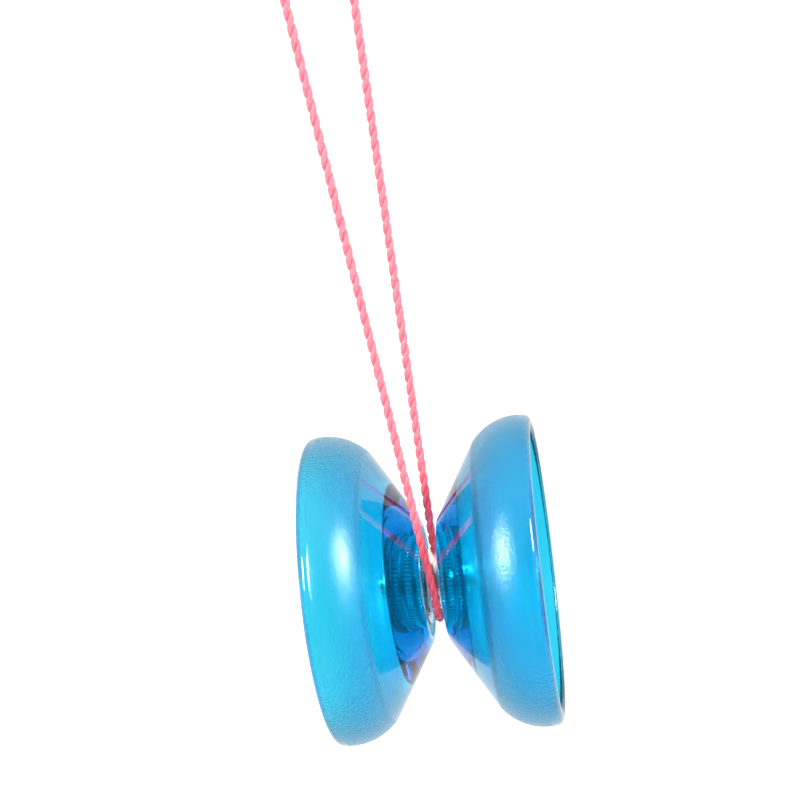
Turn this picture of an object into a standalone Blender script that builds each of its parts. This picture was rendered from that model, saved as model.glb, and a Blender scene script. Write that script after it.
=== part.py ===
"""A ball-bearing yo-yo with wide flared halves, hanging from one loop of twisted string.

The axle runs along X and +Z is up. The origin is where the finger carries the loop: the underside of
the string's crown. Lengths are in millimetres, and MM turns them into metres.
"""

import math

import bmesh
import bpy
from mathutils import Matrix, Vector

MM = 0.001
GAP = 0.05                    # running clearance between turned pieces that fit into each other

# the yo-yo as a whole
HUB = Vector((4.4, 0.0, -135.6))  # centre of the axle
DIAMETER = 60.0
WIDTH = 43.6
WALL = 1.70                   # from the middle plane to each wall of the string gap
STEPS = 48                    # facets round a large turned piece
FINE_STEPS = 32               # and round a small one

# one half: a flat wall round the hub, a straight cone, a round band and a thin lip
WALL_RADIUS = 11.85
EDGE_ROUND = 0.8              # where the wall turns into the cone
CORNER = (10.10, 25.65)       # where the cone meets the band, as (along the axle, radius)
BAND_CREST = 18.90            # where the band reaches the full diameter
LIP_RADIUS = 1.5              # the small round that turns the band over into the rim
LIP_DROP = 0.12               # how far the lip's round starts below the full radius
RIM_LAND = 0.8                # width of the flat ring that a half rests on
MOUTH_ROUND = 0.6             # from that ring into the cup
SHELL = 2.35                  # thickness of the cup's wall
CUP_FLOOR = 8.40
FLOOR_RADIUS = 18.2

# knurled metal hub insert
INSERT_FACE = 1.62
KNURL_RADIUS = 7.2
GROOVE_RADIUS = 6.5
GROOVES = ((3.2, 4.1), (5.5, 8.75))  # where each groove starts and ends along the axle
COLLAR_RADIUS = 6.2
COLLAR_END = 10.3
SPIGOT_RADIUS = 2.95
INSERT_END = 11.8
RECESS_RADIUS = 6.75          # round the bearing's outer race, so that it clears the insert
RECESS_DEPTH = 0.45
SHOULDER_RADIUS = 4.1         # the face that clamps the inner race
POST_RADIUS = 3.125
POST_END = 0.5
BEVEL = 0.25

# axle: an M4 set screw
AXLE_DIAMETER = 4.0
AXLE_CLEARANCE = 0.03
AXLE_CHAMFER = 0.35
AXLE_LENGTH = 20.0
SOCKET_ACROSS_FLATS = 2.0
SOCKET_DEPTH = 2.5
CUT_PAST = 1.0                # how far a cutter runs past the face that it opens

# response pads
PAD_INNER = 8.3
PAD_OUTER = 10.7
PAD_DEPTH = 0.9
PAD_SUNK = 0.15               # how far the pad lies below the wall
PAD_BEVEL = 0.1

# ball bearing, 1/2 inch by 1/4 inch by 1/8 inch
BEARING_OUTER = 12.70
BEARING_BORE = 6.35
BEARING_WIDTH = 3.175
BALL_DIAMETER = 1.5875
BALL_CIRCLE = (BEARING_OUTER + BEARING_BORE) / 2
BALLS = 8
RACEWAY_GAP = 0.10            # kept between faceted balls and races
OUTER_LAND = 5.40
INNER_LAND = 4.12
SHIELD_SEAT = 5.80
SHIELD_INNER = 4.35
SHIELD_FACE = 1.42
SHIELD_THICKNESS = 0.15
CLIP_WIRE = 0.22
CLIP_OPENING = math.radians(14)
RACE_BEVEL = 0.15
CAGE_THICKNESS = 0.36
CAGE_HALF_WIDTH = 1.02
POCKET_GAP = 0.09

# string
STRING_DIAMETER = 1.4
STRING_STEP = 4.0             # distance between the tube's points on a straight stretch
BEND_STEP = 2.6
GENTLE_TURN = 0.2             # radians, below which a stretch counts as straight
# from above the knot over the finger, down in front, under the bearing and up behind to the knot,
# in millimetres from the axle's centre
STRING_ROUTE = [
    (1.10, 7.35, 121.0), (1.20, 7.38, 127.0), (0.44, 6.40, 131.65), (-1.63, 3.70, 135.00),
    (-4.40, 0.00, 136.30), (-7.25, -3.70, 135.00), (-9.30, -6.40, 131.65), (-10.10, -7.38, 127.0),
    (-9.10, -7.36, 114.0), (-7.15, -7.35, 90.0), (-4.73, -7.35, 60.0), (-2.32, -7.35, 30.0),
    (-0.54, -7.35, 8.0), (0.10, -7.35, 0.0), (0.05, -6.37, -3.68), (-0.02, -3.68, -6.37),
    (-0.10, 0.00, -7.35), (-0.18, 3.68, -6.37), (-0.26, 6.37, -3.68), (-0.33, 7.35, 0.0),
    (-0.27, 7.35, 8.0), (-0.01, 7.35, 30.0), (0.35, 7.35, 60.0), (0.70, 7.35, 90.0),
    (1.00, 7.35, 115.2),
]
KNOT_CENTRE = (1.05, 7.35, 118.1)
KNOT_HALF_SIZE = (1.97, 1.68, 2.20)

COLOURS = {
    "blue_plastic": ((0.02, 0.36, 0.75), 0.25, 0.0),
    "insert_metal": ((0.55, 0.56, 0.58), 0.35, 1.0),
    "bearing_steel": ((0.72, 0.72, 0.74), 0.12, 1.0),
    "axle_steel": ((0.10, 0.10, 0.11), 0.35, 1.0),
    "cage_steel": ((0.62, 0.58, 0.50), 0.40, 1.0),
    "shield_steel": ((0.60, 0.60, 0.62), 0.25, 1.0),
    "pad_silicone": ((0.85, 0.88, 0.90), 0.55, 0.0),
    "string_pink": ((0.95, 0.20, 0.28), 0.75, 0.0),
}


def clear_scene():
    for obj in list(bpy.data.objects):
        bpy.data.objects.remove(obj, do_unlink=True)


def new_collection(name):
    collection = bpy.data.collections.new(name)
    bpy.context.scene.collection.children.link(collection)
    return collection


def material(name):
    found = bpy.data.materials.get(name)
    if found:
        return found
    colour, roughness, metallic = COLOURS[name]
    made = bpy.data.materials.new(name)
    made.use_nodes = True
    shader = made.node_tree.nodes["Principled BSDF"]
    shader.inputs["Base Color"].default_value = (*colour, 1.0)
    shader.inputs["Roughness"].default_value = roughness
    shader.inputs["Metallic"].default_value = metallic
    return made


def add_object(name, data, finish, collection):
    obj = bpy.data.objects.new(name, data)
    data.materials.append(material(finish))
    collection.objects.link(obj)
    return obj


def on_axle(obj):
    """Stands a piece made round its own Z axis on the axle, with +Z along +X."""
    obj.matrix_world = Matrix.Translation(HUB * MM) @ Matrix.Rotation(math.pi / 2, 4, "Y")
    return obj


def area_of(outline):
    following = outline[1:] + outline[:1]
    return sum(a * q - b * p for (a, p), (b, q) in zip(outline, following)) / 2


def arc(centre, radius, start, end, points):
    """Points of an arc as (along the axle, radius), from one angle to another, in degrees."""
    angles = [math.radians(start + (end - start) * i / (points - 1)) for i in range(points)]
    return [(centre[0] + radius * math.cos(a), centre[1] + radius * math.sin(a)) for a in angles]


def turned(name, outline, finish, collection, side=1, steps=STEPS):
    """Turns a closed outline of (along the axle, radius) once round the axle. side -1 mirrors it."""
    points = [(side * a, r) for a, r in outline]
    if area_of(points) < 0:
        points.reverse()
    mesh = bpy.data.meshes.new(name)
    vertices = [(r * MM, 0.0, a * MM) for a, r in points]
    edges = [(i, (i + 1) % len(points)) for i in range(len(points))]
    mesh.from_pydata(vertices, edges, [])
    obj = on_axle(add_object(name, mesh, finish, collection))
    screw = obj.modifiers.new("turn", "SCREW")
    screw.steps = screw.render_steps = steps
    screw.use_merge_vertices = True
    screw.merge_threshold = 1e-5
    screw.use_smooth_shade = True
    return obj


def edge_outline(slope, points=4):
    """The round where the wall of the gap turns into the cone, whose slope is in radians."""
    back = EDGE_ROUND * math.tan(math.pi / 4 - slope / 2)
    centre = (WALL + EDGE_ROUND, WALL_RADIUS - back)
    return arc(centre, EDGE_ROUND, 180, 90 + math.degrees(slope), points)


def band_outline(offset=0.0, points=7):
    """The round band from the cone's corner to its crest, moved inwards by offset."""
    run = BAND_CREST - CORNER[0]
    drop = DIAMETER / 2 - CORNER[1]
    radius = (run * run + drop * drop) / (2 * drop)
    start = 90 + math.degrees(math.asin(run / radius))
    return arc((BAND_CREST, DIAMETER / 2 - radius), radius - offset, start, 90, points)


def lip_outline(points=5):
    """The lip, from the band's crest over to the flat ring at the rim, and in to the cup's mouth."""
    lip = (WIDTH / 2 - LIP_RADIUS, DIAMETER / 2 - LIP_RADIUS - LIP_DROP)
    mouth = (WIDTH / 2 - MOUTH_ROUND, lip[1] - RIM_LAND)
    return arc(lip, LIP_RADIUS, 78, 0, points) + arc(mouth, MOUTH_ROUND, 0, -90, 4)


def half_outline():
    """One plastic half, from its bore round the outside to the rim and back through the cup."""
    bore = KNURL_RADIUS + GAP
    recess = WALL + PAD_DEPTH
    slope = math.atan2(CORNER[1] - WALL_RADIUS, CORNER[0] - WALL)
    wall = [(WALL, bore), (WALL, PAD_INNER), (recess, PAD_INNER), (recess, PAD_OUTER), (WALL, PAD_OUTER)]
    cup = [*reversed(band_outline(SHELL, 6)), (CUP_FLOOR, FLOOR_RADIUS), (CUP_FLOOR, bore)]
    return wall + edge_outline(slope) + band_outline() + lip_outline() + cup


def insert_outline():
    """The knurled insert as a turned piece with a plain bore where its thread is."""
    bore = AXLE_DIAMETER / 2 + GAP
    back = INSERT_FACE + RECESS_DEPTH
    post = [(POST_END, bore), (POST_END, POST_RADIUS - BEVEL), (POST_END + BEVEL, POST_RADIUS),
            (INSERT_FACE, POST_RADIUS), (INSERT_FACE, SHOULDER_RADIUS)]
    face = [(back, SHOULDER_RADIUS), (back, RECESS_RADIUS), (INSERT_FACE, RECESS_RADIUS),
            (INSERT_FACE, KNURL_RADIUS)]
    grooves = []
    for start, end in GROOVES:
        grooves += [(start, KNURL_RADIUS), (start, GROOVE_RADIUS), (end, GROOVE_RADIUS), (end, KNURL_RADIUS)]
    collar = [(GROOVES[-1][1], COLLAR_RADIUS), (COLLAR_END - BEVEL, COLLAR_RADIUS),
              (COLLAR_END, COLLAR_RADIUS - BEVEL), (COLLAR_END, SPIGOT_RADIUS)]
    spigot = [(INSERT_END - BEVEL, SPIGOT_RADIUS), (INSERT_END, SPIGOT_RADIUS - BEVEL), (INSERT_END, bore)]
    return post + face + grooves[:-1] + collar + spigot


def pad_outline():
    face = WALL + PAD_SUNK
    back = WALL + PAD_DEPTH - GAP
    inner, outer = PAD_INNER + GAP, PAD_OUTER - GAP
    return [(face, inner + PAD_BEVEL), (face, outer - PAD_BEVEL), (face + PAD_BEVEL, outer), (back, outer),
            (back, inner), (face + PAD_BEVEL, inner)]


def make_half(side, prefix, collection):
    turned(f"{prefix}_half_body", half_outline(), "blue_plastic", collection, side)
    turned(f"{prefix}_hub_insert", insert_outline(), "insert_metal", collection, side, FINE_STEPS)
    turned(f"{prefix}_response_pad", pad_outline(), "pad_silicone", collection, side)


def cutter(obj):
    obj.hide_render = True
    obj.display_type = "WIRE"
    return obj


def cut(obj, tool):
    modifier = obj.modifiers.new("cut", "BOOLEAN")
    modifier.operation = "DIFFERENCE"
    modifier.object = tool


def cylinder(name, radius, length, centre, sides, finish, collection, turn=0.0):
    """A cylinder along the axle, centred that far along it from the middle plane."""
    mesh = bpy.data.meshes.new(name)
    shape = bmesh.new()
    bmesh.ops.create_cone(shape, cap_ends=True, segments=sides, radius1=radius * MM, radius2=radius * MM,
                          depth=length * MM, matrix=Matrix.Rotation(turn, 4, "Z"))
    bmesh.ops.translate(shape, verts=shape.verts, vec=(0, 0, centre * MM))
    shape.to_mesh(mesh)
    shape.free()
    return on_axle(add_object(name, mesh, finish, collection))


def make_axle(collection, cutters):
    """The set screw, with a hexagon socket in its left end."""
    radius = AXLE_DIAMETER / 2 - AXLE_CLEARANCE
    axle = cylinder("axle_screw", radius, AXLE_LENGTH, 0, FINE_STEPS, "axle_steel", collection)
    bevel = axle.modifiers.new("chamfer", "BEVEL")
    bevel.width = AXLE_CHAMFER * MM
    bevel.angle_limit = math.radians(60)
    corner = SOCKET_ACROSS_FLATS / 2 / math.cos(math.pi / 6)
    length = SOCKET_DEPTH + CUT_PAST
    centre = SOCKET_DEPTH - (AXLE_LENGTH + length) / 2
    socket = cylinder("socket_cutter", corner, length, centre, 6, "axle_steel", cutters)
    cut(axle, cutter(socket))


def outer_race_outline():
    half = BEARING_WIDTH / 2
    radius = BEARING_OUTER / 2
    step = SHIELD_FACE - SHIELD_THICKNESS - 2 * GAP
    rebate = [(half, SHIELD_SEAT), (step, SHIELD_SEAT), (step, OUTER_LAND)]
    groove = groove_points(OUTER_LAND, (BALL_CIRCLE + BALL_DIAMETER) / 2 + RACEWAY_GAP)
    left = [(-a, r) for a, r in reversed(rebate)]
    rim = [(-half, radius - RACE_BEVEL), (-half + RACE_BEVEL, radius), (half - RACE_BEVEL, radius),
           (half, radius - RACE_BEVEL)]
    return [*rim, *rebate, *reversed(groove), *left]


def inner_race_outline():
    half = BEARING_WIDTH / 2
    bore = BEARING_BORE / 2
    groove = groove_points(INNER_LAND, (BALL_CIRCLE - BALL_DIAMETER) / 2 - RACEWAY_GAP)
    return [(-half, bore + RACE_BEVEL), (-half + RACE_BEVEL, bore), (half - RACE_BEVEL, bore),
            (half, bore + RACE_BEVEL), (half, INNER_LAND), *reversed(groove), (-half, INNER_LAND)]


def groove_points(land, bottom, points=5):
    """The raceway's arc from one edge to the other, between its land and its deepest radius."""
    radius = BALL_DIAMETER / 2 + RACEWAY_GAP
    depth = abs(bottom - land)
    away = 1 if bottom > land else -1
    reach = math.acos((radius - depth) / radius)
    angles = [reach * (2 * i / (points - 1) - 1) for i in range(points)]
    centre = bottom - away * radius
    return [(radius * math.sin(a), centre + away * radius * math.cos(a)) for a in angles]


def make_bearing(collection, cutters):
    turned("bearing_outer_race", outer_race_outline(), "bearing_steel", collection, steps=FINE_STEPS)
    turned("bearing_inner_race", inner_race_outline(), "bearing_steel", collection, steps=FINE_STEPS)
    front = SHIELD_FACE - GAP
    back = front - SHIELD_THICKNESS
    rim = SHIELD_SEAT - GAP
    shield = [(back, SHIELD_INNER), (back, rim), (front, rim), (front, SHIELD_INNER)]
    for side, prefix in ((-1, "left"), (1, "right")):
        turned(f"{prefix}_bearing_shield", shield, "shield_steel", collection, side, FINE_STEPS)
        make_clip(f"{prefix}_shield_clip", side, collection)
    make_cage(collection, cutters)
    for number in range(BALLS):
        make_ball(number, collection)


def make_clip(name, side, collection):
    """The split wire ring that holds a shield in the outer race."""
    count = 24
    radius = SHIELD_SEAT - GAP - CLIP_WIRE / 2
    along = side * (SHIELD_FACE + (CLIP_WIRE - GAP) / 2)
    points = []
    for i in range(count):
        angle = CLIP_OPENING / 2 + (2 * math.pi - CLIP_OPENING) * i / (count - 1)
        points.append((radius * math.cos(angle), radius * math.sin(angle), along))
    tube(name, points, CLIP_WIRE / 2, "bearing_steel", collection, placed_on_axle=True, sides=1)


def make_ball(number, collection):
    """A ball whose origin is its own centre, on the circle midway between the races."""
    name = f"bearing_ball_{number + 1}"
    mesh = bpy.data.meshes.new(name)
    shape = bmesh.new()
    bmesh.ops.create_icosphere(shape, subdivisions=2, radius=BALL_DIAMETER / 2 * MM)
    shape.to_mesh(mesh)
    shape.free()
    mesh.shade_smooth()
    ball = add_object(name, mesh, "bearing_steel", collection)
    ball.location = (HUB + ball_centre(number)) * MM


def ball_centre(number):
    angle = 2 * math.pi * number / BALLS
    return Vector((0.0, BALL_CIRCLE / 2 * math.sin(angle), BALL_CIRCLE / 2 * math.cos(angle)))


def make_cage(collection, cutters):
    """A thin band between the races with a round pocket for each ball."""
    inner, outer = (BALL_CIRCLE - CAGE_THICKNESS) / 2, (BALL_CIRCLE + CAGE_THICKNESS) / 2
    band = [(-CAGE_HALF_WIDTH, inner), (CAGE_HALF_WIDTH, inner), (CAGE_HALF_WIDTH, outer),
            (-CAGE_HALF_WIDTH, outer)]
    cage = turned("bearing_cage", band, "cage_steel", collection, steps=FINE_STEPS)
    for number in range(BALLS):
        cut(cage, make_pocket(number, cutters))


def make_pocket(number, cutters):
    """The cutter for one ball's pocket, pointing away from the axle."""
    name = f"pocket_cutter_{number + 1}"
    radius = (BALL_DIAMETER / 2 + POCKET_GAP) * MM
    mesh = bpy.data.meshes.new(name)
    shape = bmesh.new()
    bmesh.ops.create_cone(shape, cap_ends=True, segments=14, radius1=radius, radius2=radius,
                          depth=2 * BALL_DIAMETER * MM)
    shape.to_mesh(mesh)
    shape.free()
    pocket = cutter(add_object(name, mesh, "cage_steel", cutters))
    angle = 2 * math.pi * number / BALLS
    place = Matrix.Translation((HUB + ball_centre(number)) * MM)
    pocket.matrix_world = place @ Matrix.Rotation(-angle, 4, "X")
    return pocket


def tube(name, points, radius, finish, collection, placed_on_axle=False, sides=2):
    """A round wire or cord through points in millimetres, with filled ends."""
    curve = bpy.data.curves.new(name, "CURVE")
    curve.dimensions = "3D"
    curve.bevel_depth = radius * MM
    curve.bevel_resolution = sides
    curve.use_fill_caps = True
    spline = curve.splines.new("POLY")
    spline.points.add(len(points) - 1)
    offset = Vector((0, 0, 0)) if placed_on_axle else HUB
    for target, point in zip(spline.points, points):
        target.co = (*((Vector(point) + offset) * MM), 1.0)
    obj = add_object(name, curve, finish, collection)
    return on_axle(obj) if placed_on_axle else obj


def smooth_route(route, near, far):
    """Points along a centripetal Catmull-Rom curve through the route, closer together in its bends."""
    points = [Vector(p) for p in route]
    points = [2 * points[0] - points[1], *points, 2 * points[-1] - points[-2]]
    found = [points[1]]
    for p0, p1, p2, p3 in zip(points, points[1:], points[2:], points[3:]):
        length = (p2 - p1).length
        turn = (p1 - p0).angle(p2 - p1) + (p2 - p1).angle(p3 - p2)
        pieces = max(1, round(length / (near if turn > GENTLE_TURN else far)))
        found += [catmull_rom(p0, p1, p2, p3, i / pieces) for i in range(1, pieces + 1)]
    return found


def catmull_rom(p0, p1, p2, p3, share):
    """One point between p1 and p2 of a centripetal Catmull-Rom curve."""
    t1 = math.sqrt((p1 - p0).length)
    t2 = t1 + math.sqrt((p2 - p1).length)
    t3 = t2 + math.sqrt((p3 - p2).length)
    t = t1 + (t2 - t1) * share
    a = p0.lerp(p1, t / t1)
    b = p1.lerp(p2, (t - t1) / (t2 - t1))
    c = p2.lerp(p3, (t - t2) / (t3 - t2))
    d = a.lerp(b, t / t2)
    e = b.lerp(c, (t - t1) / (t3 - t1))
    return d.lerp(e, (t - t1) / (t2 - t1))


def make_string(collection):
    points = smooth_route(STRING_ROUTE, BEND_STEP, STRING_STEP)
    tube("string", points, STRING_DIAMETER / 2, "string_pink", collection)


def make_knot(collection):
    """The overhand knot that closes the loop, as one rounded solid of its outer shape."""
    mesh = bpy.data.meshes.new("string_knot")
    shape = bmesh.new()
    bmesh.ops.create_uvsphere(shape, u_segments=12, v_segments=8, radius=MM)
    bmesh.ops.scale(shape, verts=shape.verts, vec=KNOT_HALF_SIZE)
    shape.to_mesh(mesh)
    shape.free()
    mesh.shade_smooth()
    knot = add_object("string_knot", mesh, "string_pink", collection)
    knot.location = (HUB + Vector(KNOT_CENTRE)) * MM


def main():
    clear_scene()
    yoyo = new_collection("yo_yo")
    cutters = new_collection("cutters")
    make_half(-1, "left", yoyo)
    make_half(1, "right", yoyo)
    make_axle(yoyo, cutters)
    make_bearing(yoyo, cutters)
    make_string(yoyo)
    make_knot(yoyo)


main()
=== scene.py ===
"""The looks of a ball-bearing yo-yo that hangs from its twisted string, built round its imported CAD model.

Lengths are in millimetres and MM turns them into metres. An outline is a list of (distance along the axle
from the middle plane, radius), and a turned piece has its origin on the axle's centre, HUB.
"""

import math

import bmesh
import bpy
import numpy as np
from mathutils import Matrix, Vector


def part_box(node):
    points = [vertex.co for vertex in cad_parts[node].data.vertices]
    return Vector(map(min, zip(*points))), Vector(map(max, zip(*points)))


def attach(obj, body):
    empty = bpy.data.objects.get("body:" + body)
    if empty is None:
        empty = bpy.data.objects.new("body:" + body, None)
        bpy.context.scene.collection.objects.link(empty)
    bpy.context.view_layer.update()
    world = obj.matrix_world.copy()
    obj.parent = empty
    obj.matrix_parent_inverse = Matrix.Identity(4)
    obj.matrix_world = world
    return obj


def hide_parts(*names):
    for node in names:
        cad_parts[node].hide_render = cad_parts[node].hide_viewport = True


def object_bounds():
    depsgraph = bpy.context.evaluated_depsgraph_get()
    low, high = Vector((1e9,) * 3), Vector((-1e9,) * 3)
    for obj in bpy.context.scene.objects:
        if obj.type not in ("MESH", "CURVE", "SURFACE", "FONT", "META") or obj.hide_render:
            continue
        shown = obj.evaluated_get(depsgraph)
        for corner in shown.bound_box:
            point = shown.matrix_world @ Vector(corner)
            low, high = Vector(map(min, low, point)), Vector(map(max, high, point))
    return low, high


MM = 0.001
SHARP_ANGLE = math.radians(32)

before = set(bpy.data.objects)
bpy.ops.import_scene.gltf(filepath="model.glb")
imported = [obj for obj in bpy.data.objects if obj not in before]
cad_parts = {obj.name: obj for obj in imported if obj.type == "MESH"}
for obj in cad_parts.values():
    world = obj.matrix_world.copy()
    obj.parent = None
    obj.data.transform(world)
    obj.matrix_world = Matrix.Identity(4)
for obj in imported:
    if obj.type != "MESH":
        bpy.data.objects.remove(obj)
cad_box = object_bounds()


def box_centre(node):
    low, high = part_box(node)
    return (low + high) / 2


HUB = box_centre("axle_screw")

# where the picture is taken from
CAMERA_OFFSET = Vector((38.8, -331.9, 158.5))
CAMERA_HEADING = 6.9          # degrees, turned to the left of straight ahead
CAMERA_PITCH = -19.87
CAMERA_ROLL = -9.11
FIELD_LENS = 85.5
SENSOR_WIDTH = 36.0
NEAREST_SEEN = 0.01           # metres

# the halves
DIAMETER = 60.0
WIDTH = 43.6
WALL = 1.70
WALL_RADIUS = 11.85
EDGE_ROUND = 0.8              # where the wall of the gap turns into the cone
CORNER = (10.10, 25.65)
CORNER_ROUND = 0.35
BAND_CREST = 18.90
FROST_END = 19.5
LIP_RADIUS = 1.5
RIM_LAND = 0.8
MOUTH_ROUND = 0.6             # from the flat ring of the rim into the cup
SHELL = 2.35
CUP_FLOOR = 8.40
FLOOR_RADIUS = 18.2
FLOOR_ROUND = 1.2
BORE_IN_METAL = 6.0           # the plastic is moulded onto the insert, so its bore lies inside the metal
BAND_OVERRUN = 1.5            # degrees that the band's arc gives up to the rounded corner
INSIDE_START = 74             # degrees on the band's circle where the inside of the cup leaves the mouth
INSIDE_OVERRUN = 2            # degrees that it gives up to the cup's straight wall
MOUTH_TURN = 78               # degrees
FROST_MARGIN = 0.1

# hub inserts
INSERT_FACE = 1.62
KNURL_RADIUS = 7.2
KNURL_DEPTH = 0.24
KNURL_RIDGES = 60
GROOVE_RADIUS = 6.5
KNURL_BANDS = ((INSERT_FACE, 3.2), (4.1, 5.5))
KNURL_BEVEL = 0.12
INNER_KNURL_RADIUS = 6.74     # a shallow third band, next to the floor of the cup
INNER_BAND = (7.3, 8.7)
INNER_BEVEL = 0.15
BETWEEN_BANDS = 6.0           # along the axle, between the second band and the inner one
COLLAR_RADIUS = 6.2
COLLAR = (8.75, 10.3)
COLLAR_ROUND = 0.3
SPIGOT_RADIUS = 2.95
SPIGOT_ROUND = 0.25
INSERT_END = 11.8
RECESS_RADIUS = 6.75
RECESS_DEPTH = 0.45
SHOULDER_RADIUS = 4.1
POST_RADIUS = 3.125
POST_END = 0.5
POST_BEVEL = 0.2
INSERT_BORE = 2.05
BORE_BEVEL = 0.25
BORE_THREADS = 31             # corners of the zigzag that stands for the thread in the bore
BORE_THREAD_START = 0.3
BORE_THREAD_STEP = 0.35
BORE_THREAD_DEPTH = 0.22

# axle
THREAD_MAJOR = 1.97
THREAD_DEPTH = 0.40
THREAD_PITCH = 0.7
THREAD_CREST = 1.25           # above 1, so that the crest is flat
THREAD_SLOPE = 1.56           # how steeply a flank falls over half a pitch
ROWS_A_TURN = 10
AXLE_SIDES = 48
AXLE_LENGTH = 20.0
SOCKET_ACROSS_FLATS = 2.0
SOCKET_DEPTH = 2.5

# response pads
PAD_INNER = 8.3
PAD_OUTER = 10.7
PAD_DEPTH = 0.9
PAD_SUNK = 0.15
PAD_ROUND = 0.15
PAD_PLAY = 0.02

# bearing
BEARING_OUTER = 12.70
BEARING_BORE = 6.35
BEARING_WIDTH = 3.175
BALL_DIAMETER = 1.5875
BALL_CIRCLE = (BEARING_OUTER + BEARING_BORE) / 2
BALLS = 8
RACEWAY_GAP = 0.04
OUTER_LAND = 5.40
INNER_LAND = 4.12
SHIELD_SEAT = 5.80
SHIELD_INNER = 4.35
SHIELD_FACE = 1.42
SHIELD_THICKNESS = 0.20
SHIELD_PLAY = 0.05
SHIELD_SUNK = 0.05            # how far the sheet lies below the shield's face
SHIELD_DISHED = 0.12          # and the ring pressed into it
CLIP_WIRE = 0.22
CLIP_OPENING = 14             # degrees
CLIP_PLAY = 0.04
CLIP_SUNK = 0.03
STEP_PLAY = 0.02
OUTER_ROUND = 0.25
INNER_ROUND = 0.15

# studio
FLOOR_GLOW = 0.68             # of the floor behind the object
FRONT_GLOW = 0.1              # and of the floor well in front of it
GLOW_FROM = -0.25             # metres; the glow grows from here, in front of the hub, up to the hub
STRING_FILL = 8.0             # watts
INSERT_FILL = 1.2             # watts
SIDE_SHARE = 0.7              # how far the brightness behind the object reaches round its sides
FRONT_LEVEL = 0.12            # brightness of the room in front of the object
BACK_LEVEL = 1.12             # and behind it
FADE = (-0.75, -0.1)          # where one turns into the other, in a direction's Y + SIDE_SHARE * |X|
SEEN_LEVEL = 1.05             # brightness of the room where the camera sees it

# string
PLY_OFFSET = 0.37
PLY_RADIUS = 0.48
PLY_FLATTENED = 0.16          # how much a ply is pressed flat against the other
TWIST_PITCH = 5.3
FIBRE_LOBES = 9
LOBE_HEIGHT = 0.035
FIBRE_TWIST = 1.25            # turns of the fibres in a ply, against one turn of the plies
FIBRE_SPREAD = 6
FIBRE_STRETCH = 0.9
PLY_APART = 50                # keeps the streaks of the two plies different
UNEVEN_BY = 0.035
UNEVEN_OVER = 1.7
RING_STEP = 0.16
RING_SIDES = 36
STRING_ROUTE = [
    (1.10, 7.35, 121.0), (1.20, 7.38, 127.0), (0.44, 6.40, 131.65), (-1.63, 3.70, 135.00),
    (-4.40, 0.00, 136.30), (-7.25, -3.70, 135.00), (-9.30, -6.40, 131.65), (-10.10, -7.38, 127.0),
    (-9.10, -7.36, 114.0), (-7.15, -7.35, 90.0), (-4.73, -7.35, 60.0), (-2.32, -7.35, 30.0),
    (-0.54, -7.35, 8.0), (0.10, -7.35, 0.0), (0.05, -6.37, -3.68), (-0.02, -3.68, -6.37),
    (-0.10, 0.00, -7.35), (-0.18, 3.68, -6.37), (-0.26, 6.37, -3.68), (-0.33, 7.35, 0.0),
    (-0.27, 7.35, 8.0), (-0.01, 7.35, 30.0), (0.35, 7.35, 60.0), (0.70, 7.35, 90.0),
    (1.00, 7.35, 115.2),
]
START_IN_KNOT = (1.06, 7.35, 118.35)
END_IN_KNOT = (1.03, 7.35, 117.7)
KNOT_CENTRE = Vector((1.05, 7.35, 118.1))
KNOT_POINTS = 27
KNOT_PERIOD = 29.4            # a little over KNOT_POINTS, so that the two ends don't meet
KNOT_START = 1.2
KNOT_REACH = 0.98
KNOT_SWING = 0.62
KNOT_HEIGHT = 1.15
KNOT_FULLNESS = 0.8


# ---- outlines -------------------------------------------------------------------------------------------


def arc(centre, radius, start, end, points):
    """Points of an arc as (along the axle, radius), from one angle to another, in degrees."""
    angles = [math.radians(start + (end - start) * i / (points - 1)) for i in range(points)]
    return [(centre[0] + radius * math.cos(a), centre[1] + radius * math.sin(a)) for a in angles]


def rounded(before, corner, after, radius, points=6):
    """An arc of that radius in place of a corner, from the side of before to the side of after."""
    p, c, q = Vector(before), Vector(corner), Vector(after)
    inwards, onwards = (p - c).normalized(), (q - c).normalized()
    half = inwards.angle(onwards) / 2
    centre = c + (inwards + onwards).normalized() * (radius / math.sin(half))
    reach = radius / math.tan(half)
    start, end = c + inwards * reach - centre, c + onwards * reach - centre
    turn = start.angle_signed(end)
    found = []
    for i in range(points):
        angle = -turn * i / (points - 1)
        found.append(centre + Matrix.Rotation(angle, 2) @ start)
    return [tuple(point) for point in found]


def area_of(outline):
    following = outline[1:] + outline[:1]
    return sum(a * q - b * p for (a, p), (b, q) in zip(outline, following)) / 2


# ---- meshes ---------------------------------------------------------------------------------------------


def piece_from(name, vertices, faces):
    """An object at the hub from vertices in millimetres and faces, smooth but for its sharp edges."""
    mesh = bpy.data.meshes.new(name)
    mesh.from_pydata([Vector(v) * MM for v in vertices], [], faces)
    mesh.shade_smooth()
    mesh.set_sharp_from_angle(angle=SHARP_ANGLE)
    obj = bpy.data.objects.new(name, mesh)
    obj.location = HUB
    bpy.context.scene.collection.objects.link(obj)
    return obj


def turned(name, outline, steps, side=1, cut=None):
    """Turns a closed outline round the axle. side -1 mirrors it.

    cut gives a point's new radius from its radius and its angle.
    """
    flat = [(side * a, r) for a, r in outline]
    if area_of(flat) < 0:
        flat.reverse()
    count = len(flat)
    vertices = []
    for step in range(steps):
        angle = 2 * math.pi * step / steps
        for a, r in flat:
            radius = cut(r, angle) if cut else r
            vertices.append((a, radius * math.cos(angle), radius * math.sin(angle)))
    faces = []
    for step in range(steps):
        here, there = step * count, (step + 1) % steps * count
        for i in range(count):
            j = (i + 1) % count
            faces.append((here + i, here + j, there + j, there + i))
    return piece_from(name, vertices, faces)


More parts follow.
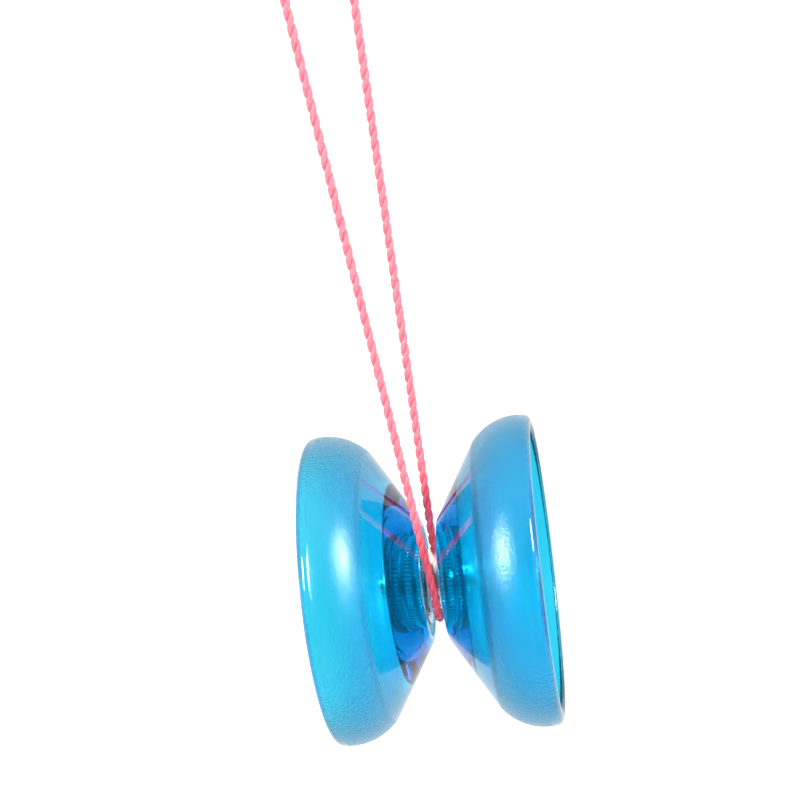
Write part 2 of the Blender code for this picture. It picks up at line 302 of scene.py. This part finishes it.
def mark(obj, name, value_of):
    """Stores a number at each vertex, worked out from its place in millimetres."""
    values = [value_of(vertex.co / MM) for vertex in obj.data.vertices]
    obj.data.attributes.new(name, "FLOAT", "POINT").data.foreach_set("value", values)


def apply_modifiers(obj):
    """Puts the mesh that an object's modifiers give in place of its own."""
    graph = bpy.context.evaluated_depsgraph_get()
    mesh = bpy.data.meshes.new_from_object(obj.evaluated_get(graph))
    obj.modifiers.clear()
    obj.data = mesh


def finish_piece(obj, finish, body, slot, *nodes):
    """Gives a piece its material and its body, and hides the CAD nodes that it stands for; slot is not
    used.
    """
    obj.data.materials.clear()
    obj.data.materials.append(finish)
    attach(obj, body)
    if nodes:
        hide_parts(*nodes)
    return obj


# ---- materials ------------------------------------------------------------------------------------------


def add_node(tree, kind, inputs=None, **settings):
    made = tree.nodes.new(kind)
    for key, value in settings.items():
        setattr(made, key, value)
    for key, value in (inputs or {}).items():
        if isinstance(value, bpy.types.NodeSocket):
            tree.links.new(value, made.inputs[key])
        else:
            made.inputs[key].default_value = value
    return made


def new_material(name):
    """An empty Principled material, as (material, node tree, shader)."""
    made = bpy.data.materials.new(name)
    made.use_nodes = True
    return made, made.node_tree, made.node_tree.nodes["Principled BSDF"]


def set_inputs(tree, shader, **values):
    for key, value in values.items():
        socket = shader.inputs[key.replace("_", " ")]
        if isinstance(value, bpy.types.NodeSocket):
            tree.links.new(value, socket)
        else:
            socket.default_value = value


def object_place(tree):
    return add_node(tree, "ShaderNodeTexCoord").outputs["Object"]


def map_range(tree, value, low, high, to_low, to_high):
    made = add_node(tree, "ShaderNodeMapRange", {"Value": value, "From Min": low, "From Max": high,
                                                 "To Min": to_low, "To Max": to_high})
    return made.outputs["Result"]


def math_node(tree, operation, first, second):
    return add_node(tree, "ShaderNodeMath", {0: first, 1: second}, operation=operation).outputs[0]


def noise(tree, vector, scale, detail=2.0, roughness=0.5):
    made = add_node(tree, "ShaderNodeTexNoise",
                    {"Vector": vector, "Scale": scale, "Detail": detail, "Roughness": roughness})
    return made.outputs["Fac"]


def bump(tree, height, strength, distance):
    made = add_node(tree, "ShaderNodeBump", {"Height": height, "Strength": strength, "Distance": distance})
    return made.outputs["Normal"]


def round_the_axle(tree):
    """(distance along the axle, radius, 0), so that a texture of it runs in rings as turning marks do."""
    parts = add_node(tree, "ShaderNodeSeparateXYZ", {0: object_place(tree)})
    squares = [math_node(tree, "MULTIPLY", parts.outputs[k], parts.outputs[k]) for k in ("Y", "Z")]
    radius = math_node(tree, "SQRT", math_node(tree, "ADD", *squares), 0.0)
    return add_node(tree, "ShaderNodeCombineXYZ", {"X": parts.outputs["X"], "Y": radius}).outputs[0]


def blue_plastic():
    """Clear tinted polycarbonate: polished, but finely textured where the attribute frost is 1."""
    made, tree, shader = new_material("blue_plastic")
    frost = add_node(tree, "ShaderNodeAttribute", attribute_name="frost").outputs["Fac"]
    place = object_place(tree)
    grain = noise(tree, place, 3000.0, 1.0)
    peel = noise(tree, place, 420.0, 1.0)
    height = math_node(tree, "ADD", grain, math_node(tree, "MULTIPLY", peel, 0.3))
    height = math_node(tree, "MULTIPLY", height, frost)
    set_inputs(tree, shader, Base_Color=(0.25, 0.73, 0.965, 1), IOR=1.55, Transmission_Weight=1.0,
               Roughness=map_range(tree, frost, 0.0, 1.0, 0.015, 0.23), Specular_Tint=(0.85, 0.95, 1, 1),
               Normal=bump(tree, height, 1.0, 7.5e-5))
    depth = add_node(tree, "ShaderNodeVolumeAbsorption",
                     {"Color": (0.0, 0.956, 0.9875, 1), "Density": 900.0})
    tree.links.new(depth.outputs[0], tree.nodes["Material Output"].inputs["Volume"])
    return made


def turned_metal(name, colour, roughness, marks=0.12, valley_shade=None):
    """Metal with fine rings left by turning and small uneven patches.

    The last argument is a darker colour painted where the attribute valley is 1, between the ridges of a
    knurl: painted shade in the knurl's valleys.
    """
    made, tree, shader = new_material(name)
    rings = noise(tree, round_the_axle(tree), 9000.0, 3.0, 0.7)
    patches = noise(tree, object_place(tree), 600.0, 3.0)
    uneven = math_node(tree, "ADD", math_node(tree, "MULTIPLY", rings, 0.6),
                       math_node(tree, "MULTIPLY", patches, 0.4))
    tone = (*colour, 1)
    # painted shade: a darker colour in the knurl's valleys, between the ridges
    if valley_shade:
        ramp = add_node(tree, "ShaderNodeValToRGB")
        valley = add_node(tree, "ShaderNodeAttribute", attribute_name="valley").outputs["Fac"]
        tree.links.new(valley, ramp.inputs["Fac"])
        ramp.color_ramp.elements[0].position = 0.3
        ramp.color_ramp.elements[0].color = tone
        ramp.color_ramp.elements[1].position = 0.6
        ramp.color_ramp.elements[1].color = (*valley_shade, 1)
        tone = ramp.outputs["Color"]
    set_inputs(tree, shader, Base_Color=tone, Metallic=1.0,
               Roughness=map_range(tree, uneven, 0.3, 0.7, roughness * 0.7, roughness * 1.3),
               Normal=bump(tree, rings, marks, 2e-5))
    return made


def silicone():
    """Milky silicone rubber of the response pads."""
    made, tree, shader = new_material("pad_silicone")
    grain = noise(tree, object_place(tree), 5000.0, 2.0)
    set_inputs(tree, shader, Base_Color=(0.80, 0.88, 0.94, 1), Roughness=0.5, Subsurface_Weight=0.6,
               Subsurface_Scale=0.002, IOR=1.41, Normal=bump(tree, grain, 0.3, 2e-5))
    return made


def string_fibre():
    """Dyed polyester: streaks along the fibres, with a sheen."""
    made, tree, shader = new_material("string_pink")
    fibre = add_node(tree, "ShaderNodeAttribute", attribute_name="fibre").outputs["Vector"]
    streaks = noise(tree, fibre, 1.0, 3.0, 0.6)
    ramp = add_node(tree, "ShaderNodeValToRGB", {"Fac": streaks})
    ramp.color_ramp.elements[0].position = 0.3
    ramp.color_ramp.elements[0].color = (0.82, 0.10, 0.145, 1)
    ramp.color_ramp.elements[1].position = 0.7
    ramp.color_ramp.elements[1].color = (0.95, 0.22, 0.26, 1)
    set_inputs(tree, shader, Base_Color=ramp.outputs["Color"], Roughness=0.62, Sheen_Weight=0.35,
               Sheen_Roughness=0.4, Sheen_Tint=(1, 0.8, 0.83, 1), Subsurface_Weight=0.7,
               Subsurface_Radius=(1.0, 0.2, 0.22), Subsurface_Scale=0.0011,
               Normal=bump(tree, streaks, 0.6, 5e-5))
    return made


def plain_floor():
    """A grey sheet that glows, more behind the object than in front; seen directly it is white all over."""
    made, tree, shader = new_material("floor")
    parts = add_node(tree, "ShaderNodeSeparateXYZ", {0: object_place(tree)})
    behind = map_range(tree, parts.outputs["Y"], GLOW_FROM, 0.0, FRONT_GLOW, FLOOR_GLOW)
    seen = add_node(tree, "ShaderNodeLightPath").outputs["Is Camera Ray"]
    level = math_node(tree, "MAXIMUM", behind, seen)
    set_inputs(tree, shader, Base_Color=(0.15, 0.15, 0.15, 1), Roughness=0.7, Emission_Color=(1, 1, 1, 1),
               Emission_Strength=level)
    return made


# ---- camera, floor and light ----------------------------------------------------------------------------


def add_camera():
    data = bpy.data.cameras.new("camera")
    data.lens = FIELD_LENS
    data.sensor_width = SENSOR_WIDTH
    data.clip_start = NEAREST_SEEN
    camera = bpy.data.objects.new("camera", data)
    heading = Matrix.Rotation(math.radians(CAMERA_HEADING), 4, "Z")
    pitch = Matrix.Rotation(math.radians(90 + CAMERA_PITCH), 4, "X")
    roll = Matrix.Rotation(math.radians(CAMERA_ROLL), 4, "Z")
    camera.matrix_world = Matrix.Translation(HUB + CAMERA_OFFSET * MM) @ heading @ pitch @ roll
    bpy.context.scene.collection.objects.link(camera)
    bpy.context.scene.camera = camera


def add_softbox(name, azimuth, elevation, distance, width, height, power):
    """A soft light turned to the hub, azimuth degrees from straight in front to the right.

    Its distance and size are in metres and its power in watts.
    """
    data = bpy.data.lights.new(name, "AREA")
    data.shape = "RECTANGLE"
    data.size = width
    data.size_y = height
    data.energy = power
    light = bpy.data.objects.new(name, data)
    a, e = math.radians(azimuth), math.radians(elevation)
    towards = Vector((math.sin(a) * math.cos(e), -math.cos(a) * math.cos(e), math.sin(e)))
    light.location = HUB + towards * distance
    light.rotation_mode = "QUATERNION"
    light.rotation_quaternion = towards.to_track_quat("Z", "Y")
    bpy.context.scene.collection.objects.link(light)
    return light


def add_world():
    """White behind the object and wherever it is seen directly, dark grey in front of the object."""
    world = bpy.data.worlds.new("studio")
    world.use_nodes = True
    tree = world.node_tree
    direction = add_node(tree, "ShaderNodeTexCoord").outputs["Generated"]
    parts = add_node(tree, "ShaderNodeSeparateXYZ", {0: direction})
    aside = math_node(tree, "ABSOLUTE", parts.outputs["X"], 0.0)
    turned_away = math_node(tree, "ADD", parts.outputs["Y"],
                            math_node(tree, "MULTIPLY", aside, SIDE_SHARE))
    behind = map_range(tree, turned_away, *FADE, FRONT_LEVEL, BACK_LEVEL)
    seen = add_node(tree, "ShaderNodeLightPath").outputs["Is Camera Ray"]
    level = math_node(tree, "MAXIMUM", behind, math_node(tree, "MULTIPLY", seen, SEEN_LEVEL))
    tree.links.new(level, tree.nodes["Background"].inputs["Strength"])
    tree.nodes["Background"].inputs["Color"].default_value = (1, 1, 1, 1)
    bpy.context.scene.world = world


def add_floor(drop=0.12, size=6.0):
    low, _ = cad_box
    mesh = bpy.data.meshes.new("floor")
    shape = bmesh.new()
    bmesh.ops.create_grid(shape, x_segments=1, y_segments=1, size=size / 2)
    shape.to_mesh(mesh)
    shape.free()
    floor = bpy.data.objects.new("floor", mesh)
    floor.location = (HUB.x, HUB.y, low.z - drop)
    mesh.materials.append(plain_floor())
    bpy.context.scene.collection.objects.link(floor)


def set_up_studio():
    add_camera()
    add_world()
    add_floor()
    add_softbox("right_softbox", azimuth=62, elevation=34, distance=1.0,
                width=0.20, height=0.34, power=14.0)
    add_softbox("left_softbox", azimuth=-46, elevation=32, distance=1.0,
                width=0.20, height=0.34, power=13.0)
    bpy.context.scene.view_settings.view_transform = "Standard"


def add_fill(pieces, colour, name, **softbox):
    """A softbox for some pieces alone, which the clear halves around them don't shade."""
    fill = add_softbox(name, **softbox)
    fill.data.color = colour
    lit = bpy.data.collections.new(f"lit_by_{fill.name}")
    for piece in pieces:
        lit.objects.link(piece)
    fill.light_linking.receiver_collection = lit
    fill.light_linking.blocker_collection = lit


# ---- string and knot ------------------------------------------------------------------------------------


def catmull_rom(p0, p1, p2, p3, share):
    """One point between p1 and p2 of a centripetal Catmull-Rom curve."""
    t1 = math.sqrt((p1 - p0).length)
    t2 = t1 + math.sqrt((p2 - p1).length)
    t3 = t2 + math.sqrt((p3 - p2).length)
    t = t1 + (t2 - t1) * share
    a = p0.lerp(p1, t / t1)
    b = p1.lerp(p2, (t - t1) / (t2 - t1))
    c = p2.lerp(p3, (t - t2) / (t3 - t2))
    d = a.lerp(b, t / t2)
    e = b.lerp(c, (t - t1) / (t3 - t1))
    return d.lerp(e, (t - t1) / (t2 - t1))


def smooth_line(route, step):
    """Evenly spaced points, about a step apart, along a smooth curve through the route."""
    points = [Vector(p) for p in route]
    points = [2 * points[0] - points[1], *points, 2 * points[-1] - points[-2]]
    fine = [points[1]]
    for p0, p1, p2, p3 in zip(points, points[1:], points[2:], points[3:]):
        pieces = max(4, round((p2 - p1).length / step * 2))
        fine += [catmull_rom(p0, p1, p2, p3, i / pieces) for i in range(1, pieces + 1)]
    fine = np.array(fine)
    run = np.concatenate([[0], np.cumsum(np.linalg.norm(np.diff(fine, axis=0), axis=1))])
    wanted = np.linspace(0, run[-1], round(run[-1] / step) + 1)
    return np.stack([np.interp(wanted, run, fine[:, k]) for k in range(3)], axis=1), wanted


def carried_frames(line):
    """At each point of a line, two directions across it that turn no more than the line does."""
    along = np.gradient(line, axis=0)
    along /= np.linalg.norm(along, axis=1)[:, None]
    across = np.cross(along[0], [0.31, 0.12, 0.94])
    first = []
    for direction in along:
        across = across - direction * (across @ direction)
        across /= np.linalg.norm(across)
        first.append(across)
    first = np.array(first)
    return first, np.cross(along, first)


def wobble(run, seed, size, length):
    """A smooth uneven factor along a run: 1 give or take size, changing over about that length."""
    rng = np.random.default_rng(seed)
    knots = rng.normal(0, size, int(run[-1] / length) + 3)
    return 1 + np.interp(run / length, range(len(knots)), knots)


def tube_faces(rings, sides, start):
    """Quads between neighbouring rings of vertices, with a face over each end."""
    faces = []
    for ring in range(rings - 1):
        here, there = start + ring * sides, start + (ring + 1) * sides
        for i in range(sides):
            j = (i + 1) % sides
            faces.append((here + i, here + j, there + j, there + i))
    faces.append(tuple(start + i for i in reversed(range(sides))))
    faces.append(tuple(start + (rings - 1) * sides + i for i in range(sides)))
    return faces


def twisted_cord(name, route, seed=1, fullness=1.0):
    """A cord of two twisted plies, each a bundle of fibres. Gives the object and its centreline."""
    line, run = smooth_line(route, RING_STEP)
    first, second = carried_frames(line)
    around = np.linspace(0, 2 * np.pi, RING_SIDES, endpoint=False)
    vertices, faces, fibres = [], [], []
    for ply in range(2):
        phase = 2 * np.pi * run / TWIST_PITCH + np.pi * ply
        offset = PLY_OFFSET * fullness
        centre = line + offset * (np.cos(phase)[:, None] * first + np.sin(phase)[:, None] * second)
        own = around[None, :] - FIBRE_TWIST * 2 * np.pi * run[:, None] / TWIST_PITCH
        pressed = 1 - PLY_FLATTENED * np.cos(2 * (own - phase[:, None]))
        lobes = pressed * (1 + LOBE_HEIGHT / PLY_RADIUS * np.cos(FIBRE_LOBES * around)[None, :])
        uneven = wobble(run, seed + ply, UNEVEN_BY, UNEVEN_OVER)[:, None]
        radius = PLY_RADIUS * fullness * lobes * uneven
        ring = centre[:, None, :] + radius[:, :, None] * (
            np.cos(own)[:, :, None] * first[:, None, :] + np.sin(own)[:, :, None] * second[:, None, :])
        faces += tube_faces(len(line), RING_SIDES, len(vertices))
        vertices += list(map(tuple, ring.reshape(-1, 3)))
        place = [FIBRE_SPREAD * np.cos(around), FIBRE_SPREAD * np.sin(around),
                 run[:, None] * FIBRE_STRETCH + ply * PLY_APART]
        place = [np.broadcast_to(part, own.shape) for part in place]
        fibres.append(np.stack(place, axis=2).reshape(-1, 3))
    obj = piece_from(name, vertices, faces)
    data = obj.data.attributes.new("fibre", "FLOAT_VECTOR", "POINT").data
    data.foreach_set("vector", np.concatenate(fibres).astype(np.float32).ravel())
    return obj, line


def knot_route():
    """A pulled-tight overhand knot: three crossings round the string, with both ends led out upwards."""
    turns = []
    for i in range(KNOT_POINTS):
        t = 2 * math.pi * (i + KNOT_START) / KNOT_PERIOD
        reach = KNOT_REACH + KNOT_SWING * math.cos(3 * t)
        height = KNOT_HEIGHT * math.sin(3 * t)
        turns.append(Vector((reach * math.cos(2 * t), reach * math.sin(2 * t), height)))
    start = [turns[0] + Vector((1.6, 1.2, 3.6)), turns[0] + Vector((0.9, 0.7, 1.6))]
    end = [turns[-1] + Vector((0.3, -1.2, 1.9)), turns[-1] + Vector((0.2, -2.2, 4.4))]
    return [KNOT_CENTRE + p for p in [*start, *turns, *end]]


def make_string(finish):
    cord, line = twisted_cord("string_twisted", [START_IN_KNOT, *STRING_ROUTE, END_IN_KNOT])
    knot, _ = twisted_cord("string_overhand_knot", knot_route(), seed=7, fullness=KNOT_FULLNESS)
    finish_piece(cord, finish, "string_loop", "string_pink", "string")
    finish_piece(knot, finish, "string_loop", "string_pink", "string_knot")
    add_fill([cord, knot], (1.0, 0.34, 0.42), "string_fill", azimuth=4, elevation=38, distance=0.9,
             width=0.4, height=0.5, power=STRING_FILL)


# ---- halves ---------------------------------------------------------------------------------------------


def band_circle():
    """Radius, centre and first angle of the band's arc, from the cone's corner over the crest."""
    run, drop = BAND_CREST - CORNER[0], DIAMETER / 2 - CORNER[1]
    radius = (run * run + drop * drop) / (2 * drop)
    return radius, (BAND_CREST, DIAMETER / 2 - radius), 90 + math.degrees(math.asin(run / radius))


def outer_band():
    """The band, the lip that carries on from it, and the flat ring of the rim."""
    radius, centre, start = band_circle()
    along = WIDTH / 2 - LIP_RADIUS
    meet = math.degrees(math.acos((along - BAND_CREST) / (radius - LIP_RADIUS)))
    lip_centre = (along, centre[1] + (radius - LIP_RADIUS) * math.sin(math.radians(meet)))
    band = arc(centre, radius, start - BAND_OVERRUN, meet, 34)
    lip = arc(lip_centre, LIP_RADIUS, meet, 0, 16)
    mouth = (WIDTH / 2 - MOUTH_ROUND, lip_centre[1] - RIM_LAND)
    return band + lip[1:] + arc(mouth, MOUTH_ROUND, 0, -MOUTH_TURN, 9)


def half_outline():
    """A cup: the wall of the gap with the pad's recess, the cone, the band and the inside."""
    radius, centre, start = band_circle()
    outside = outer_band()
    recess = WALL + PAD_DEPTH
    wall = [(WALL, BORE_IN_METAL), (WALL, PAD_INNER), (recess, PAD_INNER), (recess, PAD_OUTER),
            (WALL, PAD_OUTER)]
    edge = rounded(wall[-1], (WALL, WALL_RADIUS), CORNER, EDGE_ROUND, 9)
    brink = rounded(edge[-1], CORNER, outside[0], CORNER_ROUND)
    inside = arc(centre, radius - SHELL, INSIDE_START, start - INSIDE_OVERRUN, 24)
    foot = rounded(inside[-1], (CUP_FLOOR, FLOOR_RADIUS), (CUP_FLOOR, BORE_IN_METAL), FLOOR_ROUND, 8)
    return wall + edge + brink + outside[1:] + inside + foot + [(CUP_FLOOR, BORE_IN_METAL)]


def frost_at(place):
    """1 on the band, and inside the cup behind it as far as the rim; 0 elsewhere."""
    radius, centre, _ = band_circle()
    along, out = abs(place.x), math.hypot(place.y, place.z)
    reach = math.hypot(along - centre[0], out - centre[1])
    textured = along < FROST_END or out < DIAMETER / 2 - SHELL + FROST_MARGIN
    in_band = reach > radius - SHELL - FROST_MARGIN and along > CORNER[0] + FROST_MARGIN
    return float(in_band and textured)


def knurled(radius, angle):
    """The ridges of a straight knurl, on the points of an outline at a knurl's radius."""
    if radius not in (KNURL_RADIUS, INNER_KNURL_RADIUS):
        return radius
    share = angle * KNURL_RIDGES / (2 * math.pi) % 1
    return radius - KNURL_DEPTH * (1 - abs(2 * share - 1)) ** 2


def valley_at(place):
    """1 at the bottom of the knurl, between two ridges, and 0 elsewhere: where the insert's metal is
    painted darker, as shade.
    """
    along = abs(place.x)
    crest = KNURL_RADIUS if along < BETWEEN_BANDS else INNER_KNURL_RADIUS
    depth = (crest - math.hypot(place.y, place.z)) / KNURL_DEPTH
    return float(0.9 < depth < 1.1 and (along < BETWEEN_BANDS or INNER_BAND[0] <= along < INNER_BAND[1]))


def raised_band(ends, foot, crest, bevel):
    """A band that rises from the radius foot to the radius crest."""
    start, end = ends
    return [(start, foot), (start + bevel, crest), (end - bevel, crest), (end, foot)]


def insert_outline():
    back = INSERT_FACE + RECESS_DEPTH
    knurl_edge = KNURL_RADIUS - KNURL_DEPTH
    first, second = (raised_band(ends, knurl_edge, KNURL_RADIUS, KNURL_BEVEL) for ends in KNURL_BANDS)
    collar_front, collar_back = COLLAR
    collar_edge = (collar_back, COLLAR_RADIUS)
    spigot_foot = (collar_back, SPIGOT_RADIUS)
    spigot_edge = (INSERT_END, SPIGOT_RADIUS)
    bore = []
    for i in range(BORE_THREADS):
        valley = BORE_THREAD_DEPTH if i % 2 else 0.0
        bore.append((INSERT_END - BORE_THREAD_START - BORE_THREAD_STEP * i, INSERT_BORE + valley))
    return [
        (POST_END, POST_RADIUS - POST_BEVEL), (POST_END + POST_BEVEL, POST_RADIUS),
        (INSERT_FACE, POST_RADIUS), (INSERT_FACE, SHOULDER_RADIUS), (back, SHOULDER_RADIUS),
        (back, RECESS_RADIUS), (INSERT_FACE, RECESS_RADIUS),
        *first, (first[-1][0], GROOVE_RADIUS), (second[0][0], GROOVE_RADIUS),
        *second, (second[-1][0], GROOVE_RADIUS),
        *raised_band(INNER_BAND, GROOVE_RADIUS, INNER_KNURL_RADIUS, INNER_BEVEL),
        (collar_front, GROOVE_RADIUS), (collar_front, COLLAR_RADIUS),
        *rounded((collar_front, COLLAR_RADIUS), collar_edge, spigot_foot, COLLAR_ROUND),
        spigot_foot,
        *rounded(spigot_foot, spigot_edge, (INSERT_END, INSERT_BORE), SPIGOT_ROUND),
        (INSERT_END, INSERT_BORE + BORE_BEVEL), *bore, (POST_END, INSERT_BORE),
    ]


def pad_outline():
    """A flat ring in its recess, with the two edges towards the string rounded."""
    face, back = WALL + PAD_SUNK, WALL + PAD_DEPTH - PAD_PLAY
    inner, outer = PAD_INNER + PAD_PLAY, PAD_OUTER - PAD_PLAY
    corners = [(face, inner), (face, outer), (back, outer), (back, inner)]
    return [*rounded(corners[3], corners[0], corners[1], PAD_ROUND),
            *rounded(corners[0], corners[1], corners[2], PAD_ROUND), *corners[2:]]


def make_half(side, prefix, body, pad_body, plastic, metal, pad_finish):
    """A cup with its insert and its pad. Gives the insert."""
    shell = turned(f"{prefix}_cup", half_outline(), 200, side)
    mark(shell, "frost", frost_at)
    finish_piece(shell, plastic, body, "blue_plastic", f"{prefix}_half_body")
    insert = turned(f"{prefix}_knurled_insert", insert_outline(), 6 * KNURL_RIDGES, side, knurled)
    # the valley attribute places painted shade between the knurl's ridges
    mark(insert, "valley", valley_at)
    finish_piece(insert, metal, body, "insert_metal", f"{prefix}_hub_insert")
    pad = turned(f"{prefix}_silicone_pad", pad_outline(), 120, side)
    finish_piece(pad, pad_finish, pad_body, "pad_silicone", f"{prefix}_response_pad")
    return insert


# ---- axle -----------------------------------------------------------------------------------------------


def make_axle(finish):
    """The set screw, with its helical thread and the hexagon socket in its left end."""
    rows = round(AXLE_LENGTH / THREAD_PITCH * ROWS_A_TURN)
    vertices = []
    for row in range(rows + 1):
        along = AXLE_LENGTH * (row / rows - 0.5)
        chamfer = AXLE_LENGTH / 2 - abs(along) + THREAD_MAJOR - THREAD_DEPTH
        for i in range(AXLE_SIDES):
            angle = 2 * math.pi * i / AXLE_SIDES
            share = (along / THREAD_PITCH + angle / (2 * math.pi)) % 1
            tooth = min(1.0, max(0.0, THREAD_CREST - THREAD_SLOPE * abs(2 * share - 1)))
            radius = min(chamfer, THREAD_MAJOR - THREAD_DEPTH * (1 - tooth))
            vertices.append((along, radius * math.cos(angle), radius * math.sin(angle)))
    axle = piece_from("threaded_axle", vertices, tube_faces(rows + 1, AXLE_SIDES, 0))
    cut_socket(axle)
    finish_piece(axle, finish, "left_half", "axle_steel", "axle_screw")


def cut_socket(axle):
    """Cuts the hexagon socket into the axle's left end."""
    corner = SOCKET_ACROSS_FLATS / 2 / math.cos(math.pi / 6)
    shape = bmesh.new()
    bmesh.ops.create_cone(shape, cap_ends=True, segments=6, radius1=corner * MM, radius2=corner * MM,
                          depth=2 * SOCKET_DEPTH * MM)
    bmesh.ops.transform(shape, verts=shape.verts, matrix=Matrix.Rotation(math.pi / 2, 4, "Y"))
    mesh = bpy.data.meshes.new("socket")
    shape.to_mesh(mesh)
    shape.free()
    socket = bpy.data.objects.new("socket", mesh)
    socket.location = HUB - Vector((AXLE_LENGTH / 2, 0, 0)) * MM
    bpy.context.scene.collection.objects.link(socket)
    difference = axle.modifiers.new("socket", "BOOLEAN")
    difference.object = socket
    bpy.context.view_layer.update()
    apply_modifiers(axle)
    bpy.data.objects.remove(socket)
    axle.data.set_sharp_from_angle(angle=SHARP_ANGLE)


# ---- bearing --------------------------------------------------------------------------------------------


def raceway(land, outwards, points=13):
    """The groove that the balls run in, as an arc across a race.

    Known fault: both outlines join this arc on backwards, so it overlaps their land and seals the groove.
    """
    radius = BALL_DIAMETER / 2 + RACEWAY_GAP
    depth = abs(land - BALL_CIRCLE / 2)
    reach = math.degrees(math.asin(depth / radius))
    middle = 90 if outwards else -90
    return arc((0, BALL_CIRCLE / 2), radius, middle + 90 - reach, middle - 90 + reach, points)


def outer_race_outline():
    half, radius = BEARING_WIDTH / 2, BEARING_OUTER / 2
    step = SHIELD_FACE - SHIELD_THICKNESS - STEP_PLAY
    right = [(half, SHIELD_SEAT), (step, SHIELD_SEAT), (step, OUTER_LAND)]
    left = [(-a, r) for a, r in reversed(right)]
    top = [*rounded(left[-1], (-half, radius), (half, radius), OUTER_ROUND),
           *rounded((-half, radius), (half, radius), right[0], OUTER_ROUND)]
    return top + right + raceway(OUTER_LAND, True) + left


def inner_race_outline():
    half, bore = BEARING_WIDTH / 2, BEARING_BORE / 2
    bottom = [*rounded((half, INNER_LAND), (half, bore), (-half, bore), INNER_ROUND),
              *rounded((half, bore), (-half, bore), (-half, INNER_LAND), INNER_ROUND)]
    return bottom + [(-half, INNER_LAND)] + raceway(INNER_LAND, False) + [(half, INNER_LAND)]


def shield_outline():
    """Pressed sheet: flat at both edges, with a shallow ring pressed inwards between them."""
    back = SHIELD_FACE - SHIELD_THICKNESS
    outer = SHIELD_SEAT - SHIELD_PLAY
    flat, dished = SHIELD_FACE - SHIELD_SUNK, SHIELD_FACE - SHIELD_DISHED
    return [(flat, outer), (flat, 5.3), (dished, 5.1), (dished, 4.6), (flat, 4.5), (flat, SHIELD_INNER),
            (back, SHIELD_INNER), (back, outer)]


def make_clip(name, side, finish, node):
    """The split wire ring that holds a shield in the outer race."""
    opening, count, sides = math.radians(CLIP_OPENING), 90, 10
    ring_radius = SHIELD_SEAT - CLIP_PLAY - CLIP_WIRE / 2
    along = side * (SHIELD_FACE + CLIP_WIRE / 2 - CLIP_SUNK)
    vertices = []
    for i in range(count):
        angle = opening / 2 + (2 * math.pi - opening) * i / (count - 1)
        for k in range(sides):
            across = 2 * math.pi * k / sides
            radius = ring_radius + CLIP_WIRE / 2 * math.cos(across)
            vertices.append((along + CLIP_WIRE / 2 * math.sin(across), -radius * math.sin(angle),
                             radius * math.cos(angle)))
    clip = piece_from(name, vertices, tube_faces(count, sides, 0))
    recalculate(clip)
    finish_piece(clip, finish, "string_loop", "bearing_steel", node)


def recalculate(obj):
    """Turns all faces outwards."""
    shape = bmesh.new()
    shape.from_mesh(obj.data)
    bmesh.ops.recalc_face_normals(shape, faces=shape.faces)
    shape.to_mesh(obj.data)
    shape.free()


def make_ball(number, finish):
    shape = bmesh.new()
    bmesh.ops.create_uvsphere(shape, u_segments=32, v_segments=20, radius=BALL_DIAMETER / 2 * MM)
    mesh = bpy.data.meshes.new(f"ball_{number}")
    shape.to_mesh(mesh)
    shape.free()
    mesh.shade_smooth()
    ball = bpy.data.objects.new(f"ball_{number}", mesh)
    ball.location = box_centre(f"bearing_ball_{number}")
    bpy.context.scene.collection.objects.link(ball)
    finish_piece(ball, finish, f"ball_{number}", "bearing_steel", f"bearing_ball_{number}")


def make_bearing(steel, shield_steel, cage_steel):
    outer = turned("outer_race", outer_race_outline(), 144)
    finish_piece(outer, steel, "string_loop", "bearing_steel", "bearing_outer_race")
    inner = turned("inner_race", inner_race_outline(), 112)
    finish_piece(inner, steel, "left_half", "bearing_steel", "bearing_inner_race")
    for side, prefix in ((-1, "left"), (1, "right")):
        shield = turned(f"{prefix}_pressed_shield", shield_outline(), 128, side)
        finish_piece(shield, shield_steel, "string_loop", "shield_steel", f"{prefix}_bearing_shield")
        make_clip(f"{prefix}_wire_clip", side, steel, f"{prefix}_shield_clip")
    for number in range(1, BALLS + 1):
        make_ball(number, steel)
    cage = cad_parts["bearing_cage"]
    cage.data.materials.clear()
    cage.data.materials.append(cage_steel)


# ---- everything -----------------------------------------------------------------------------------------


def main():
    set_up_studio()
    make_string(string_fibre())
    plastic, pad_finish = blue_plastic(), silicone()
    # the insert's last colour is painted shade for the knurl's valleys
    insert_metal = turned_metal("insert_metal", (0.90, 0.90, 0.89), 0.17, 0.5, (0.40, 0.42, 0.46))
    inserts = [make_half(-1, "left", "left_half", "left_half", plastic, insert_metal, pad_finish),
               make_half(1, "right", "right_half", "right_pad", plastic, insert_metal, pad_finish)]
    add_fill(inserts, (1.0, 1.0, 1.0), "insert_fill", azimuth=2, elevation=56, distance=0.9,
             width=0.5, height=0.08, power=INSERT_FILL)
    make_axle(turned_metal("axle_steel", (0.10, 0.10, 0.11), 0.34))
    make_bearing(turned_metal("bearing_steel", (0.80, 0.79, 0.77), 0.08, 0.05),
                 turned_metal("shield_steel", (0.62, 0.62, 0.63), 0.28),
                 turned_metal("cage_steel", (0.64, 0.59, 0.50), 0.35))


main()
